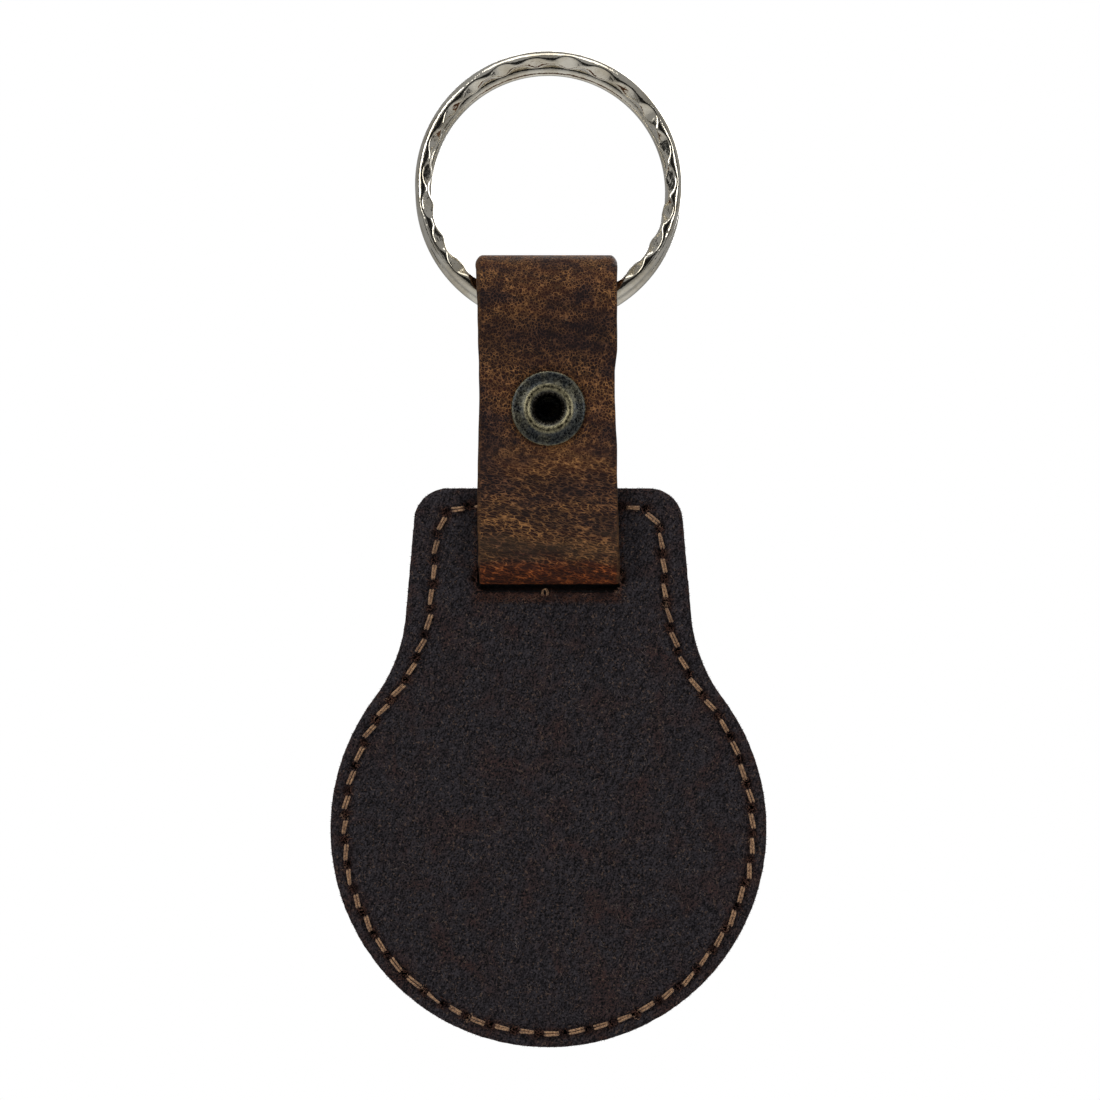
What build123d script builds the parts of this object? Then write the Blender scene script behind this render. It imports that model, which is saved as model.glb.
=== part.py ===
from build123d import *
import math
import os

os.makedirs("parts", exist_ok=True)

# Leather guitar-pick holder: a stitched pouch that hangs by a snapped strap from a split key ring.
# Millimetres. +Z is up as it hangs, +Y is towards the front (pocket side), X runs across.
# The origin is the centre of the key ring's back turn, halfway between its two turns along Y.

# ---- driving sizes ---------------------------------------------------------------------------
# key ring
ring_outer_d = 32.0
wire_d = 2.0
turn_gap = 0.12              # air between the two turns
turn_drop = 1.0              # the turn on the pocket side hangs this much lower
ramp_half_angle = 12.0       # the wire changes sides over twice this angle, at the bottom
wire_end_gap_angle = 3.0     # from each cut end of the wire to the ramp

# strap
strap_w = 16.8
strap_t = 1.6
ring_play = 0.32             # between the turning ring and the inside of the fold
fold_lift = 0.6              # the fold's centre stands this far above the ring's turning axis
leg_bend_h = 7.6             # height over which each leg bends in from the fold to its flat
tab_beyond_snap = 11.1       # from the snap's axis to the tip of the tab
tail_t = 0.7                 # the tail is skived to this
tail_below_top = 0.9         # the tail stops this far below the pouch's top edge

# pouch
back_panel_t = 1.4
front_panel_t = 1.6
pocket_t = 1.2
pouch_back_y = -2.6          # outer face of the back panel
fold_to_pouch = 22.8         # from the fold's centre down to the pouch's top edge
pouch_height = 66.9
round_r = 26.1               # the round body
neck_half_w = 15.75          # at the top of the neck
neck_flare = 5.0             # degrees that each side of the neck leans out
neck_corner_r = 4.0
flare_r = 19.0               # hollow curve between the neck and the round body

# slot and hairpin
hairpin_below_top = 11.5     # lowest point of the strap's hairpin, below the pouch's top edge
slot_clearance = 0.6         # all round the strap where it goes through the back panel
fit_gap = 0.05               # between leather faces that lie on each other

# pick pocket
mould_r = 22.4               # foot of the moulded part, inside the seam
mould_h = 4.4                # room for picks between the front panel and the pocket
mould_wall_angle = 42.0      # lean of the moulded wall, in degrees
mould_round_r = 1.6
mouth_side_below_top = 24.2  # where the mouth's edge meets the pouch's sides
mouth_dip = 6.0              # how far the middle of the mouth lies below its sides

# seam
stitch_pitch = 3.0
thread_d = 0.5
thread_leg_d = 0.44          # pulled thinner where it goes down through the leather
seam_top_inset = 2.2
seam_side_inset = 2.9
seam_round_inset = 1.7
seam_corner_r = 3.0
stitch_hole_l = 1.2
stitch_hole_w = 0.62

# snap fastener
fold_to_snap = 13.3          # from the fold's centre down to the snap's axis
snap_closed_gap = 4.5        # between the two legs of the strap
cap_r = 6.2
cap_h = 2.4
cap_t = 0.4
rivet_r = 1.35
rivet_bore_r = 0.95
rivet_head_r = 4.6
rivet_head_t = 0.4
rivet_roll_r = 2.0
rivet_roll_t = 0.35
socket_r = 5.3
socket_h = 3.3
socket_base_t = 0.5
socket_bore_r = 3.35
spring_wire_d = 0.55
spring_play = 0.22           # around the stud's head
spring_groove_gap = 0.06
spring_gap_angle = 50.0
spring_from_mouth = 0.9      # from the socket's mouth to the spring's middle
stud_base_r = 4.0
stud_base_t = 0.5
stud_neck_r = 2.45
stud_head_r = 2.75
stud_h = 3.1
stud_dish_r = 2.3
stud_dish_depth = 0.6
eyelet_r = 4.5
eyelet_crest_r = 2.65
eyelet_crest_h = 0.75
eyelet_rim_h = 0.25
eyelet_bore_r = 1.45
eyelet_barrel_r = 1.8
eyelet_roll_r = 2.2
eyelet_roll_t = 0.3
barrel_fit = 0.05            # around each barrel, in the leather and in the parts it holds

# ---- sizes that follow -----------------------------------------------------------------------
turn_r = (ring_outer_d - wire_d) / 2
turn_y = (wire_d + turn_gap) / 2
half_strap = strap_w / 2
wire_slope = math.asin(half_strap / turn_r)
wire_z_at_edge = -turn_r * math.cos(wire_slope)
wire_z_lowest = -turn_r - turn_drop
swing_z = (wire_z_at_edge + wire_z_lowest) / 2
wire_reach = math.hypot((wire_z_at_edge - wire_z_lowest) / 2, turn_y)
sweep_r = wire_reach + wire_d / 2 / math.cos(wire_slope)
fold_in_r = sweep_r + ring_play
fold_mid_r = fold_in_r + strap_t / 2
fold_z = swing_z + fold_lift

leg_in_y = pouch_back_y - thread_d
leg_out_y = leg_in_y - strap_t
tab_in_y = leg_in_y + snap_closed_gap
tab_out_y = tab_in_y + strap_t
snap_z = fold_z - fold_to_snap

pouch_top_z = fold_z - fold_to_pouch
round_z = pouch_top_z - pouch_height + round_r
panels_y = pouch_back_y + back_panel_t
front_y = panels_y + front_panel_t
pocket_y = front_y + pocket_t
mouth_side_z = pouch_top_z - mouth_side_below_top
mouth_mid_z = mouth_side_z - mouth_dip

hairpin_in_r = (back_panel_t + thread_d + fit_gap) / 2
hairpin_in_y = leg_in_y + hairpin_in_r
tail_in_y = leg_in_y + 2 * hairpin_in_r
tail_out_y = tail_in_y + tail_t
hairpin_out_r = (tail_out_y - leg_out_y) / 2
hairpin_out_y = leg_out_y + hairpin_out_r
hairpin_low_z = pouch_top_z - hairpin_below_top
hairpin_z = hairpin_low_z + hairpin_out_r
slot_top_z = hairpin_z
slot_low_z = hairpin_low_z - slot_clearance
tail_top_z = pouch_top_z - tail_below_top

snap_axis = Axis((0, 0, snap_z), (0, 1, 0))


def facing_back(y):
    """Plane across the object at height y: X stays X, its up is +Z, and it faces the back."""
    return Plane(origin=(0, y, 0), x_dir=(1, 0, 0), z_dir=(0, -1, 0))


def save(part, name):
    part.label = name
    export_step(part, f"parts/{name}.step")


# ---- key ring --------------------------------------------------------------------------------
def wire_point(centre_z, y, angle):
    a = math.radians(angle)
    return Vector(turn_r * math.cos(a), y, centre_z + turn_r * math.sin(a))


def wire_heading(angle):
    a = math.radians(angle)
    return Vector(-math.sin(a), 0, math.cos(a))


ramp_start = -90 - ramp_half_angle
ramp_end = -90 + ramp_half_angle
turn_sweep = 360 - 2 * ramp_half_angle - wire_end_gap_angle

with BuildPart() as key_ring:
    # the turn towards the back ends where the ramp begins, the other turn starts where it ends
    for centre_z, y, start in (
        (0, -turn_y, ramp_start - turn_sweep),
        (-turn_drop, turn_y, ramp_end),
    ):
        first = wire_point(centre_z, y, start)
        with BuildSketch(Plane(origin=first, z_dir=wire_heading(start))):
            Circle(wire_d / 2)
        revolve(axis=Axis((0, y, centre_z), (0, -1, 0)), revolution_arc=turn_sweep)
    with BuildLine() as ramp:
        Spline(
            wire_point(0, -turn_y, ramp_start),
            wire_point(-turn_drop, turn_y, ramp_end),
            tangents=(wire_heading(ramp_start), wire_heading(ramp_end)),
        )
    with BuildSketch(Plane(origin=ramp.line @ 0, z_dir=ramp.line % 0)):
        Circle(wire_d / 2)
    sweep(path=ramp.line)
save(key_ring.part, "key_ring")


# ---- pouch outline ---------------------------------------------------------------------------
def pouch_half_outline(top_inset, side_inset, round_inset):
    """Right half of the outline, from the middle of the top edge to the bottom, moved inwards."""
    top_z = pouch_top_z - top_inset
    circle_r = round_r - round_inset
    hollow_r = flare_r + side_inset
    lean = math.radians(neck_flare)
    down = Vector(math.sin(lean), -math.cos(lean))
    outwards = Vector(math.cos(lean), math.sin(lean))
    shoulder = Vector(neck_half_w - side_inset + top_inset * math.tan(lean), top_z)
    # centre of the hollow curve: hollow_r off the neck's side and off the round body
    to_round = shoulder + outwards * hollow_r - Vector(0, round_z)
    along = to_round.dot(down)
    reach = along**2 - to_round.dot(to_round) + (hollow_r + circle_r) ** 2
    neck_length = -along - math.sqrt(reach)
    neck_end = shoulder + down * neck_length
    hollow = neck_end + outwards * hollow_r
    meet = (Vector(0, round_z) * hollow_r + hollow * circle_r) * (1 / (hollow_r + circle_r))
    meet_angle = math.degrees(math.atan2(meet.Y - round_z, meet.X))
    start_angle = 180 + neck_flare
    hollow_sweep = math.degrees(math.atan2(meet.Y - hollow.Y, meet.X - hollow.X)) % 360 - start_angle
    Line((0, top_z), shoulder)
    Line(shoulder, neck_end)
    CenterArc(hollow, hollow_r, start_angle, hollow_sweep)
    CenterArc((0, round_z), circle_r, meet_angle, -90 - meet_angle)


def pouch_face(top_inset, side_inset, round_inset, corner_r):
    """The whole outline as a face in the XZ plane's own X and Z, with rounded top corners."""
    with BuildSketch(Plane.XY, mode=Mode.PRIVATE) as face:
        with BuildLine():
            pouch_half_outline(top_inset, side_inset, round_inset)
            mirror(about=Plane.YZ)
        make_face()
        shoulders = face.vertices().group_by(Axis.Y)[-1]
        fillet([v for v in shoulders if abs(v.X) > corner_r], radius=corner_r)
    return face.sketch


# ---- seam ------------------------------------------------------------------------------------
seam = pouch_face(seam_top_inset, seam_side_inset, seam_round_inset, seam_corner_r).face().outer_wire()
stitch_count = round(seam.length / stitch_pitch)
stitch_step = seam.length / stitch_count
leg_from_hole = (stitch_hole_l - stitch_hole_w) / 2
mouth_r = (round_r**2 + mouth_dip**2) / (2 * mouth_dip)
mouth_centre_z = mouth_mid_z + mouth_r


def seam_point(distance):
    return seam.position_at((distance % seam.length) / seam.length)


def mouth_z(x):
    """Height of the pocket's mouth edge at x."""
    return mouth_centre_z - math.sqrt(mouth_r**2 - x**2)


def stitch_holes(face_y):
    """Row of slits along the seam, on the face at face_y."""
    with BuildSketch(facing_back(face_y)) as slits:
        for i in range(stitch_count):
            heading = seam.tangent_at(i / stitch_count)
            turn = math.degrees(math.atan2(heading.Y, heading.X))
            with Locations(seam_point(i * stitch_step)):
                SlotOverall(stitch_hole_l, stitch_hole_w, rotation=turn)
    return slits.sketch


def stitch_ends(i):
    start = seam_point(i * stitch_step + leg_from_hole)
    end = seam_point((i + 1) * stitch_step - leg_from_hole)
    return start, end


def stitch_spans(numbers):
    """The thread's straight runs on a face, as slots in the open sketch."""
    for i in numbers:
        start, end = stitch_ends(i)
        run = end - start
        with Locations((start + end) * 0.5):
            SlotCenterToCenter(run.length, thread_d, rotation=math.degrees(math.atan2(run.Y, run.X)))


def stitch_legs(numbers):
    for i in numbers:
        with Locations(*stitch_ends(i)):
            Circle(thread_leg_d / 2)


all_stitches = range(stitch_count)
pocket_stitches = []
neck_stitches = []
for number in all_stitches:
    lower_end = min(stitch_ends(number), key=lambda point: point.Y)
    if lower_end.Y < mouth_z(lower_end.X):
        pocket_stitches.append(number)
    else:
        neck_stitches.append(number)

with BuildPart() as needle_thread:
    for numbers, face_y in ((neck_stitches, front_y), (pocket_stitches, pocket_y)):
        with BuildSketch(facing_back(face_y + thread_d)):
            stitch_spans(numbers)
        extrude(amount=thread_d)
        with BuildSketch(facing_back(face_y + thread_d / 2)):
            stitch_legs(numbers)
        extrude(amount=face_y + thread_d / 2 - panels_y - fit_gap)
save(needle_thread.part, "needle_thread")

with BuildPart() as bobbin_thread:
    with BuildSketch(facing_back(pouch_back_y)):
        stitch_spans(all_stitches)
    extrude(amount=thread_d)
    with BuildSketch(facing_back(panels_y - fit_gap)):
        stitch_legs(all_stitches)
    extrude(amount=back_panel_t)
save(bobbin_thread.part, "bobbin_thread")


# ---- strap -----------------------------------------------------------------------------------
def leg_bend_angle(shift):
    """Turn of each of the two equal arcs that carry a leg sideways by shift over leg_bend_h."""
    return 2 * math.degrees(math.atan(shift / leg_bend_h))


def leg_bend_r(shift):
    return (leg_bend_h**2 + shift**2) / (4 * shift)


def strap_leg(side, flat_y, low_z):
    """Middle line of half the fold and one leg: side is -1 for the back leg, +1 for the tab."""
    shift = fold_mid_r - abs(flat_y)
    turn = side * leg_bend_angle(shift)
    quarter = CenterArc((0, fold_z), fold_mid_r, 90, -side * 90)
    inwards = JernArc(quarter @ 1, (0, -1), leg_bend_r(shift), -turn)
    upright = JernArc(inwards @ 1, inwards % 1, leg_bend_r(shift), turn)
    Line(upright @ 1, ((upright @ 1).X, low_z))


with BuildPart() as strap_back:
    # fold and back leg
    with BuildSketch(Plane.YZ):
        with BuildLine():
            strap_leg(-1, (leg_in_y + leg_out_y) / 2, hairpin_z)
        trace(line_width=strap_t)
        # hairpin round the bridge above the slot, thinning into the tail
        with BuildLine():
            CenterArc((hairpin_out_y, hairpin_z), hairpin_out_r, 180, 180)
            Line((tail_out_y, hairpin_z), (tail_out_y, tail_top_z))
            Line((tail_out_y, tail_top_z), (tail_in_y, tail_top_z))
            Line((tail_in_y, tail_top_z), (tail_in_y, hairpin_z))
            CenterArc((hairpin_in_y, hairpin_z), hairpin_in_r, 0, -180)
            Line((leg_in_y, hairpin_z), (leg_out_y, hairpin_z))
        make_face()
    extrude(amount=half_strap, both=True)
    # eyelet hole
    with BuildSketch(facing_back(leg_in_y)):
        with Locations((0, snap_z)):
            Circle(eyelet_barrel_r + barrel_fit)
    extrude(amount=strap_t, mode=Mode.SUBTRACT)
    # the pouch's top seam goes through the tail
    extrude(stitch_holes(tail_out_y), amount=tail_t, mode=Mode.SUBTRACT)
save(strap_back.part, "strap_back")


with BuildPart() as strap_tab:
    tab_tip_z = snap_z - tab_beyond_snap
    with BuildSketch(Plane.YZ):
        with BuildLine():
            strap_leg(1, (tab_in_y + tab_out_y) / 2, tab_tip_z)
        trace(line_width=strap_t)
    extrude(amount=half_strap, both=True)
    # the tip is rounded to a half circle
    with BuildSketch(facing_back(tab_out_y + fold_mid_r)):
        with BuildLine():
            Line((-half_strap, fold_z + 2 * fold_mid_r), (-half_strap, tab_tip_z + half_strap))
            CenterArc((0, tab_tip_z + half_strap), half_strap, 180, 180)
            Line((half_strap, tab_tip_z + half_strap), (half_strap, fold_z + 2 * fold_mid_r))
            Line((half_strap, fold_z + 2 * fold_mid_r), (-half_strap, fold_z + 2 * fold_mid_r))
        make_face()
    extrude(amount=4 * fold_mid_r, mode=Mode.INTERSECT)
    with BuildSketch(facing_back(tab_out_y)):
        with Locations((0, snap_z)):
            Circle(rivet_r + barrel_fit)
    extrude(amount=strap_t, mode=Mode.SUBTRACT)
save(strap_tab.part, "strap_tab")


# ---- panels ----------------------------------------------------------------------------------
slot_w = strap_w + 2 * slot_clearance

with BuildPart() as back_panel:
    with BuildSketch(facing_back(panels_y)):
        add(pouch_face(0, 0, 0, neck_corner_r))
    extrude(amount=back_panel_t)
    # slot for the strap
    with BuildSketch(facing_back(panels_y)):
        with Locations((0, (slot_top_z + slot_low_z) / 2)):
            SlotOverall(slot_w, slot_top_z - slot_low_z)
    extrude(amount=back_panel_t, mode=Mode.SUBTRACT)
    extrude(stitch_holes(panels_y), amount=back_panel_t, mode=Mode.SUBTRACT)
save(back_panel.part, "back_panel")

with BuildPart() as front_panel:
    with BuildSketch(facing_back(front_y)):
        add(pouch_face(0, 0, 0, neck_corner_r))
    extrude(amount=front_panel_t)
    # skived bed for the strap's tail, open at the top edge
    tail_bed_depth = tail_out_y + fit_gap - panels_y
    tail_bed_low_z = slot_low_z
    with BuildSketch(facing_back(panels_y + tail_bed_depth)):
        with Locations((0, (pouch_top_z + tail_bed_low_z) / 2)):
            Rectangle(slot_w, pouch_top_z - tail_bed_low_z)
    extrude(amount=tail_bed_depth, mode=Mode.SUBTRACT)
    extrude(stitch_holes(front_y), amount=front_panel_t, mode=Mode.SUBTRACT)
save(front_panel.part, "front_panel")


# ---- pick pocket -----------------------------------------------------------------------------
mould_lean = math.radians(mould_wall_angle)
pocket_axis = Axis((0, 0, round_z), (0, 1, 0))


def mould_section(foot_r, height, corner_r):
    """Half section of the moulded dome: radius along X, height along Y from the front panel."""
    rim_r = foot_r - height * math.tan(mould_lean)
    with BuildSketch(Plane.XY.offset(round_z)) as section:
        with BuildLine():
            Polyline(
                (0, front_y),
                (foot_r, front_y),
                (rim_r, front_y + height),
                (0, front_y + height),
                close=True,
            )
        make_face()
        rim = section.vertices().group_by(Axis.Y)[-1].sort_by(Axis.X)[-1]
        fillet(rim, radius=corner_r)
    return section.sketch


with BuildPart() as pick_pocket:
    with BuildSketch(facing_back(pocket_y)):
        add(pouch_face(0, 0, 0, neck_corner_r))
    extrude(amount=pocket_t)
    outer_foot_r = mould_r + pocket_t / math.cos(mould_lean)
    revolve(mould_section(outer_foot_r, mould_h + pocket_t, mould_round_r + pocket_t), axis=pocket_axis)
    revolve(mould_section(mould_r, mould_h, mould_round_r), axis=pocket_axis, mode=Mode.SUBTRACT)
    # everything above the mouth's curved edge is cut away
    with BuildSketch(facing_back(front_y + 2 * mould_h + pocket_t)):
        with BuildLine():
            ThreePointArc((-round_r, mouth_side_z), (0, mouth_mid_z), (round_r, mouth_side_z))
            Polyline(
                (round_r, mouth_side_z),
                (round_r, pouch_top_z + 1),
                (-round_r, pouch_top_z + 1),
                (-round_r, mouth_side_z),
            )
        make_face()
    extrude(amount=3 * mould_h + pocket_t, mode=Mode.SUBTRACT)
    extrude(stitch_holes(pocket_y), amount=pocket_t, mode=Mode.SUBTRACT)
save(pick_pocket.part, "pick_pocket")


# ---- snap fastener ---------------------------------------------------------------------------
def snap_half(*points):
    """Closed half section of a turned piece, as points of radius and Y."""
    with BuildSketch(Plane.XY.offset(snap_z)) as half:
        with BuildLine():
            Polyline(*points, close=True)
        make_face()
    return half.sketch


stud_floor_y = leg_in_y + stud_h - stud_dish_depth

with BuildPart() as snap_eyelet:
    half = snap_half(
        (eyelet_bore_r, leg_out_y + eyelet_rim_h),
        (eyelet_crest_r, leg_out_y - eyelet_crest_h),
        (eyelet_r - eyelet_rim_h, leg_out_y - eyelet_rim_h),
        (eyelet_r, leg_out_y),
        (eyelet_barrel_r, leg_out_y),
        (eyelet_barrel_r, stud_floor_y),
        (eyelet_roll_r, stud_floor_y),
        (eyelet_roll_r, stud_floor_y + eyelet_roll_t),
        (eyelet_bore_r, stud_floor_y + eyelet_roll_t),
    )
    revolve(half, axis=snap_axis)
save(snap_eyelet.part, "snap_eyelet")

with BuildPart() as snap_stud:
    stud_bore_r = eyelet_barrel_r + barrel_fit
    stud_top_y = leg_in_y + stud_h
    half = snap_half(
        (stud_bore_r, leg_in_y),
        (stud_base_r, leg_in_y),
        (stud_base_r, leg_in_y + stud_base_t),
        (stud_neck_r + stud_base_t / 2, leg_in_y + stud_base_t),
        (stud_neck_r, leg_in_y + 2 * stud_base_t),
        (stud_head_r, stud_floor_y - stud_dish_depth),
        (stud_head_r, stud_floor_y),
        (stud_neck_r, stud_top_y),
        (stud_dish_r, stud_top_y),
        (stud_dish_r, stud_floor_y),
        (stud_bore_r, stud_floor_y),
    )
    revolve(half, axis=snap_axis)
save(snap_stud.part, "snap_stud")

spring_mid_r = stud_head_r + spring_play + spring_wire_d / 2
spring_y = tab_in_y - socket_h + spring_from_mouth
groove_half_h = spring_wire_d / 2 + spring_groove_gap
groove_r = spring_mid_r + groove_half_h
socket_floor_y = tab_in_y - socket_base_t

with BuildPart() as snap_socket:
    socket_mouth_y = tab_in_y - socket_h
    half = snap_half(
        (rivet_r + barrel_fit, tab_in_y),
        (socket_r, tab_in_y),
        (socket_r, tab_in_y - socket_base_t),
        (socket_r - socket_base_t, socket_mouth_y),
        (socket_bore_r, socket_mouth_y),
        (socket_bore_r, spring_y - groove_half_h),
        (groove_r, spring_y - groove_half_h),
        (groove_r, spring_y + groove_half_h),
        (socket_bore_r, spring_y + groove_half_h),
        (socket_bore_r, socket_floor_y),
        (rivet_r + barrel_fit, socket_floor_y),
    )
    revolve(half, axis=snap_axis)
save(snap_socket.part, "snap_socket")

with BuildPart() as snap_spring:
    with BuildSketch(Plane.XY.offset(snap_z)):
        with Locations((spring_mid_r, spring_y)):
            Circle(spring_wire_d / 2)
    revolve(axis=snap_axis, revolution_arc=360 - spring_gap_angle)
save(snap_spring.part, "snap_spring")

with BuildPart() as snap_rivet:
    half = snap_half(
        (rivet_bore_r, tab_out_y + rivet_head_t),
        (rivet_head_r, tab_out_y + rivet_head_t),
        (rivet_head_r, tab_out_y),
        (rivet_r, tab_out_y),
        (rivet_r, socket_floor_y),
        (rivet_roll_r, socket_floor_y),
        (rivet_roll_r, socket_floor_y - rivet_roll_t),
        (rivet_bore_r, socket_floor_y - rivet_roll_t),
    )
    revolve(half, axis=snap_axis)
save(snap_rivet.part, "snap_rivet")

with BuildPart() as snap_cap:
    cap_top_y = tab_out_y + cap_h
    with BuildSketch(Plane.XY.offset(snap_z)):
        with BuildLine():
            # outer dome, its turned-in lip against the leather, and the inner dome
            Line((0, cap_top_y - cap_t), (0, cap_top_y))
            outer = TangentArc((0, cap_top_y), (cap_r, tab_out_y + cap_t), tangent=(1, 0))
            Line(outer @ 1, (cap_r - cap_t / 2, tab_out_y))
            Line((cap_r - cap_t / 2, tab_out_y), (rivet_head_r + barrel_fit, tab_out_y))
            Line((rivet_head_r + barrel_fit, tab_out_y), (rivet_head_r + barrel_fit, tab_out_y + cap_t))
            inner_foot = (cap_r - 2 * cap_t, tab_out_y + cap_t)
            Line((rivet_head_r + barrel_fit, tab_out_y + cap_t), inner_foot)
            TangentArc((0, cap_top_y - cap_t), inner_foot, tangent=(1, 0))
        make_face()
    revolve(axis=snap_axis)
save(snap_cap.part, "snap_cap")
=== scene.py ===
import math
import random

import bmesh
import bpy
from mathutils import Matrix, Vector, kdtree, noise


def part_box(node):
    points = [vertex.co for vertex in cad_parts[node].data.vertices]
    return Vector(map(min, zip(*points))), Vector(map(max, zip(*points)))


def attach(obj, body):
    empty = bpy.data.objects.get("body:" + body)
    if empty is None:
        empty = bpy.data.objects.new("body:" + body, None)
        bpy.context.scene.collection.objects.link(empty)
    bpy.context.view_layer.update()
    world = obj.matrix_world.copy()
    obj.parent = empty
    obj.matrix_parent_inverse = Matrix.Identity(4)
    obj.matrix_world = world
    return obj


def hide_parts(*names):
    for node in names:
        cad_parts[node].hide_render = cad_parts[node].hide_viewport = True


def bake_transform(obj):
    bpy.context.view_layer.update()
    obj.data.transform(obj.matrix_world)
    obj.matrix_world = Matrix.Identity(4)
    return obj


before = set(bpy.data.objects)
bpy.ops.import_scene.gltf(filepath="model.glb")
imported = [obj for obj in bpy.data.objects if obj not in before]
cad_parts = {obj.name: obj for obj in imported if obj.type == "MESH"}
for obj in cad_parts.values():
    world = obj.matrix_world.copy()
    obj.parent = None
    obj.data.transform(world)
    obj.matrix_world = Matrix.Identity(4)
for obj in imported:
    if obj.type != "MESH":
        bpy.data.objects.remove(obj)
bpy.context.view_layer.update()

MM = 0.001
chance = random.Random(7)

# ---- sizes, in metres ------------------------------------------------------------------------
ring_low, ring_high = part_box("key_ring")
leg_low, leg_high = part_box("strap_back")
_, tab_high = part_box("strap_tab")
panel_low, panel_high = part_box("back_panel")
eyelet_low, eyelet_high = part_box("snap_eyelet")

WIRE_R = 1.0 * MM
TURN_R = ring_high.x - WIRE_R
TURN_Y = ring_high.y - WIRE_R
TURN_DROP = -(ring_low.z + TURN_R + WIRE_R)
CREST_OUT = 0.75 * MM
SNAP_Z = (eyelet_low.z + eyelet_high.z) / 2
LEG_OUT_Y = eyelet_low.y + CREST_OUT
FOLD_TOP_Z = tab_high.z
FOLD_SIDE_Z = FOLD_TOP_Z - 5.2 * MM
HALF_STRAP = leg_high.x
STRAP_LOW_Z = leg_low.z
PANEL_TOP_Z = panel_high.z
PANEL_MIDDLE_Z = (panel_low.z + panel_high.z) / 2
SLOT_LOW_Z = STRAP_LOW_Z - 0.6 * MM
SLOT_MIDDLE_Z = STRAP_LOW_Z + 0.71 * MM


# ---- shared making ---------------------------------------------------------------------------
def new_piece(name, mesh, body=None):
    piece = bpy.data.objects.new(name, mesh)
    bpy.context.scene.collection.objects.link(piece)
    if body:
        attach(piece, body)
    return piece


def piece_from(bm, name, body=None):
    mesh = bpy.data.meshes.new(name)
    bm.to_mesh(mesh)
    bm.free()
    mesh.shade_smooth()
    return new_piece(name, mesh, body)


def settle_modifiers(piece):
    """Applies the piece's modifiers to its mesh."""
    seen = piece.evaluated_get(bpy.context.evaluated_depsgraph_get())
    mesh = bpy.data.meshes.new_from_object(seen)
    mesh.name = piece.name
    piece.modifiers.clear()
    piece.data = mesh


def joined_up(bm, node):
    """Adds a CAD node to bm, with its loose triangles merged."""
    part = bmesh.new()
    part.from_mesh(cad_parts[node].data)
    bmesh.ops.remove_doubles(part, verts=part.verts, dist=2e-6)
    mesh = bpy.data.meshes.new("merged")
    part.to_mesh(mesh)
    part.free()
    bm.from_mesh(mesh)
    bpy.data.meshes.remove(mesh)


def even_leather(name, nodes, grid, softening, plugs=()):
    """One leather body over these CAD nodes with an even, softened mesh, as an open bmesh.
    Plugs are (middle, radius, depth) along Y, where leather has closed up round the thread."""
    bm = bmesh.new()
    for node_name in nodes:
        joined_up(bm, node_name)
    upright = Matrix.Rotation(math.radians(90), 4, "X")
    for middle, radius, depth in plugs:
        bmesh.ops.create_cone(
            bm, cap_ends=True, segments=12, radius1=radius, radius2=radius, depth=depth,
            matrix=Matrix.Translation(middle) @ upright,
        )
    rough = piece_from(bm, name + "_rough")
    remesh = rough.modifiers.new("even", "REMESH")
    remesh.mode = "VOXEL"
    remesh.voxel_size = grid
    settle_modifiers(rough)
    bm = bmesh.new()
    bm.from_mesh(rough.data)
    bpy.data.objects.remove(rough)
    for _ in range(softening):
        bmesh.ops.smooth_vert(
            bm, verts=bm.verts, factor=0.5, use_axis_x=True, use_axis_y=True, use_axis_z=True
        )
    return bm


def paint(piece, material):
    piece.data.materials.clear()
    piece.data.materials.append(material)


def ease(value, low, high):
    """0 at low, 1 at high, smooth in between."""
    t = min(1.0, max(0.0, (value - low) / (high - low)))
    return t * t * (3 - 2 * t)


def between(value, table):
    """Straight-line reading of a table of (place, size) rows in falling order of place."""
    if value >= table[0][0]:
        return table[0][1]
    for (above, size_above), (below, size_below) in zip(table, table[1:]):
        if value >= below:
            share = (above - value) / (above - below)
            return size_above + share * (size_below - size_above)
    return table[-1][1]


def wobble(point, size, seed):
    """Slow noise, about -1 to 1, over features of this size."""
    return noise.noise(Vector(point) / size + Vector((seed * 7.3, seed * 3.1, seed * 5.7)))


def swelling(x, z, *layers):
    """Uneven thickness over a face: each layer is (height, feature size, seed), in mm."""
    return sum(height * MM * wobble((x, 0, z), size * MM, seed) for height, size, seed in layers)


# ---- shared material making ------------------------------------------------------------------
def tint(red, green, blue):
    """Screen colour, 0 to 255, as the linear colour that a shader takes."""
    def linear(c):
        c /= 255
        return c / 12.92 if c <= 0.04045 else ((c + 0.055) / 1.055) ** 2.4
    return (linear(red), linear(green), linear(blue), 1.0)


def node(tree, kind, sockets=None, **settings):
    made = tree.nodes.new("ShaderNode" + kind)
    for key, value in settings.items():
        setattr(made, key, value)
    for key, value in (sockets or {}).items():
        if isinstance(value, bpy.types.NodeSocket):
            tree.links.new(value, made.inputs[key])
        else:
            made.inputs[key].default_value = value
    return made


def calc(tree, operation, first, second=0.0):
    return node(tree, "Math", {0: first, 1: second}, operation=operation).outputs[0]


def times(tree, first, second):
    return calc(tree, "MULTIPLY", first, second)


def spread(tree, value, low, high, start=0.0, stop=1.0):
    """Smoothly takes low..high to start..stop."""
    sockets = {"Value": value, "From Min": low, "From Max": high, "To Min": start, "To Max": stop}
    return node(tree, "MapRange", sockets, interpolation_type="SMOOTHSTEP").outputs[0]


def zone(tree, value, start, full, still_full, stop):
    """0 before start, 1 from full to still_full, and 0 again after stop, in millimetres."""
    return times(
        tree, spread(tree, value, start * MM, full * MM),
        spread(tree, value, stop * MM, still_full * MM),
    )


def blend_colours(tree, share, first, second):
    return node(tree, "Mix", {0: share, 6: first, 7: second}, data_type="RGBA").outputs[2]


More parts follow.
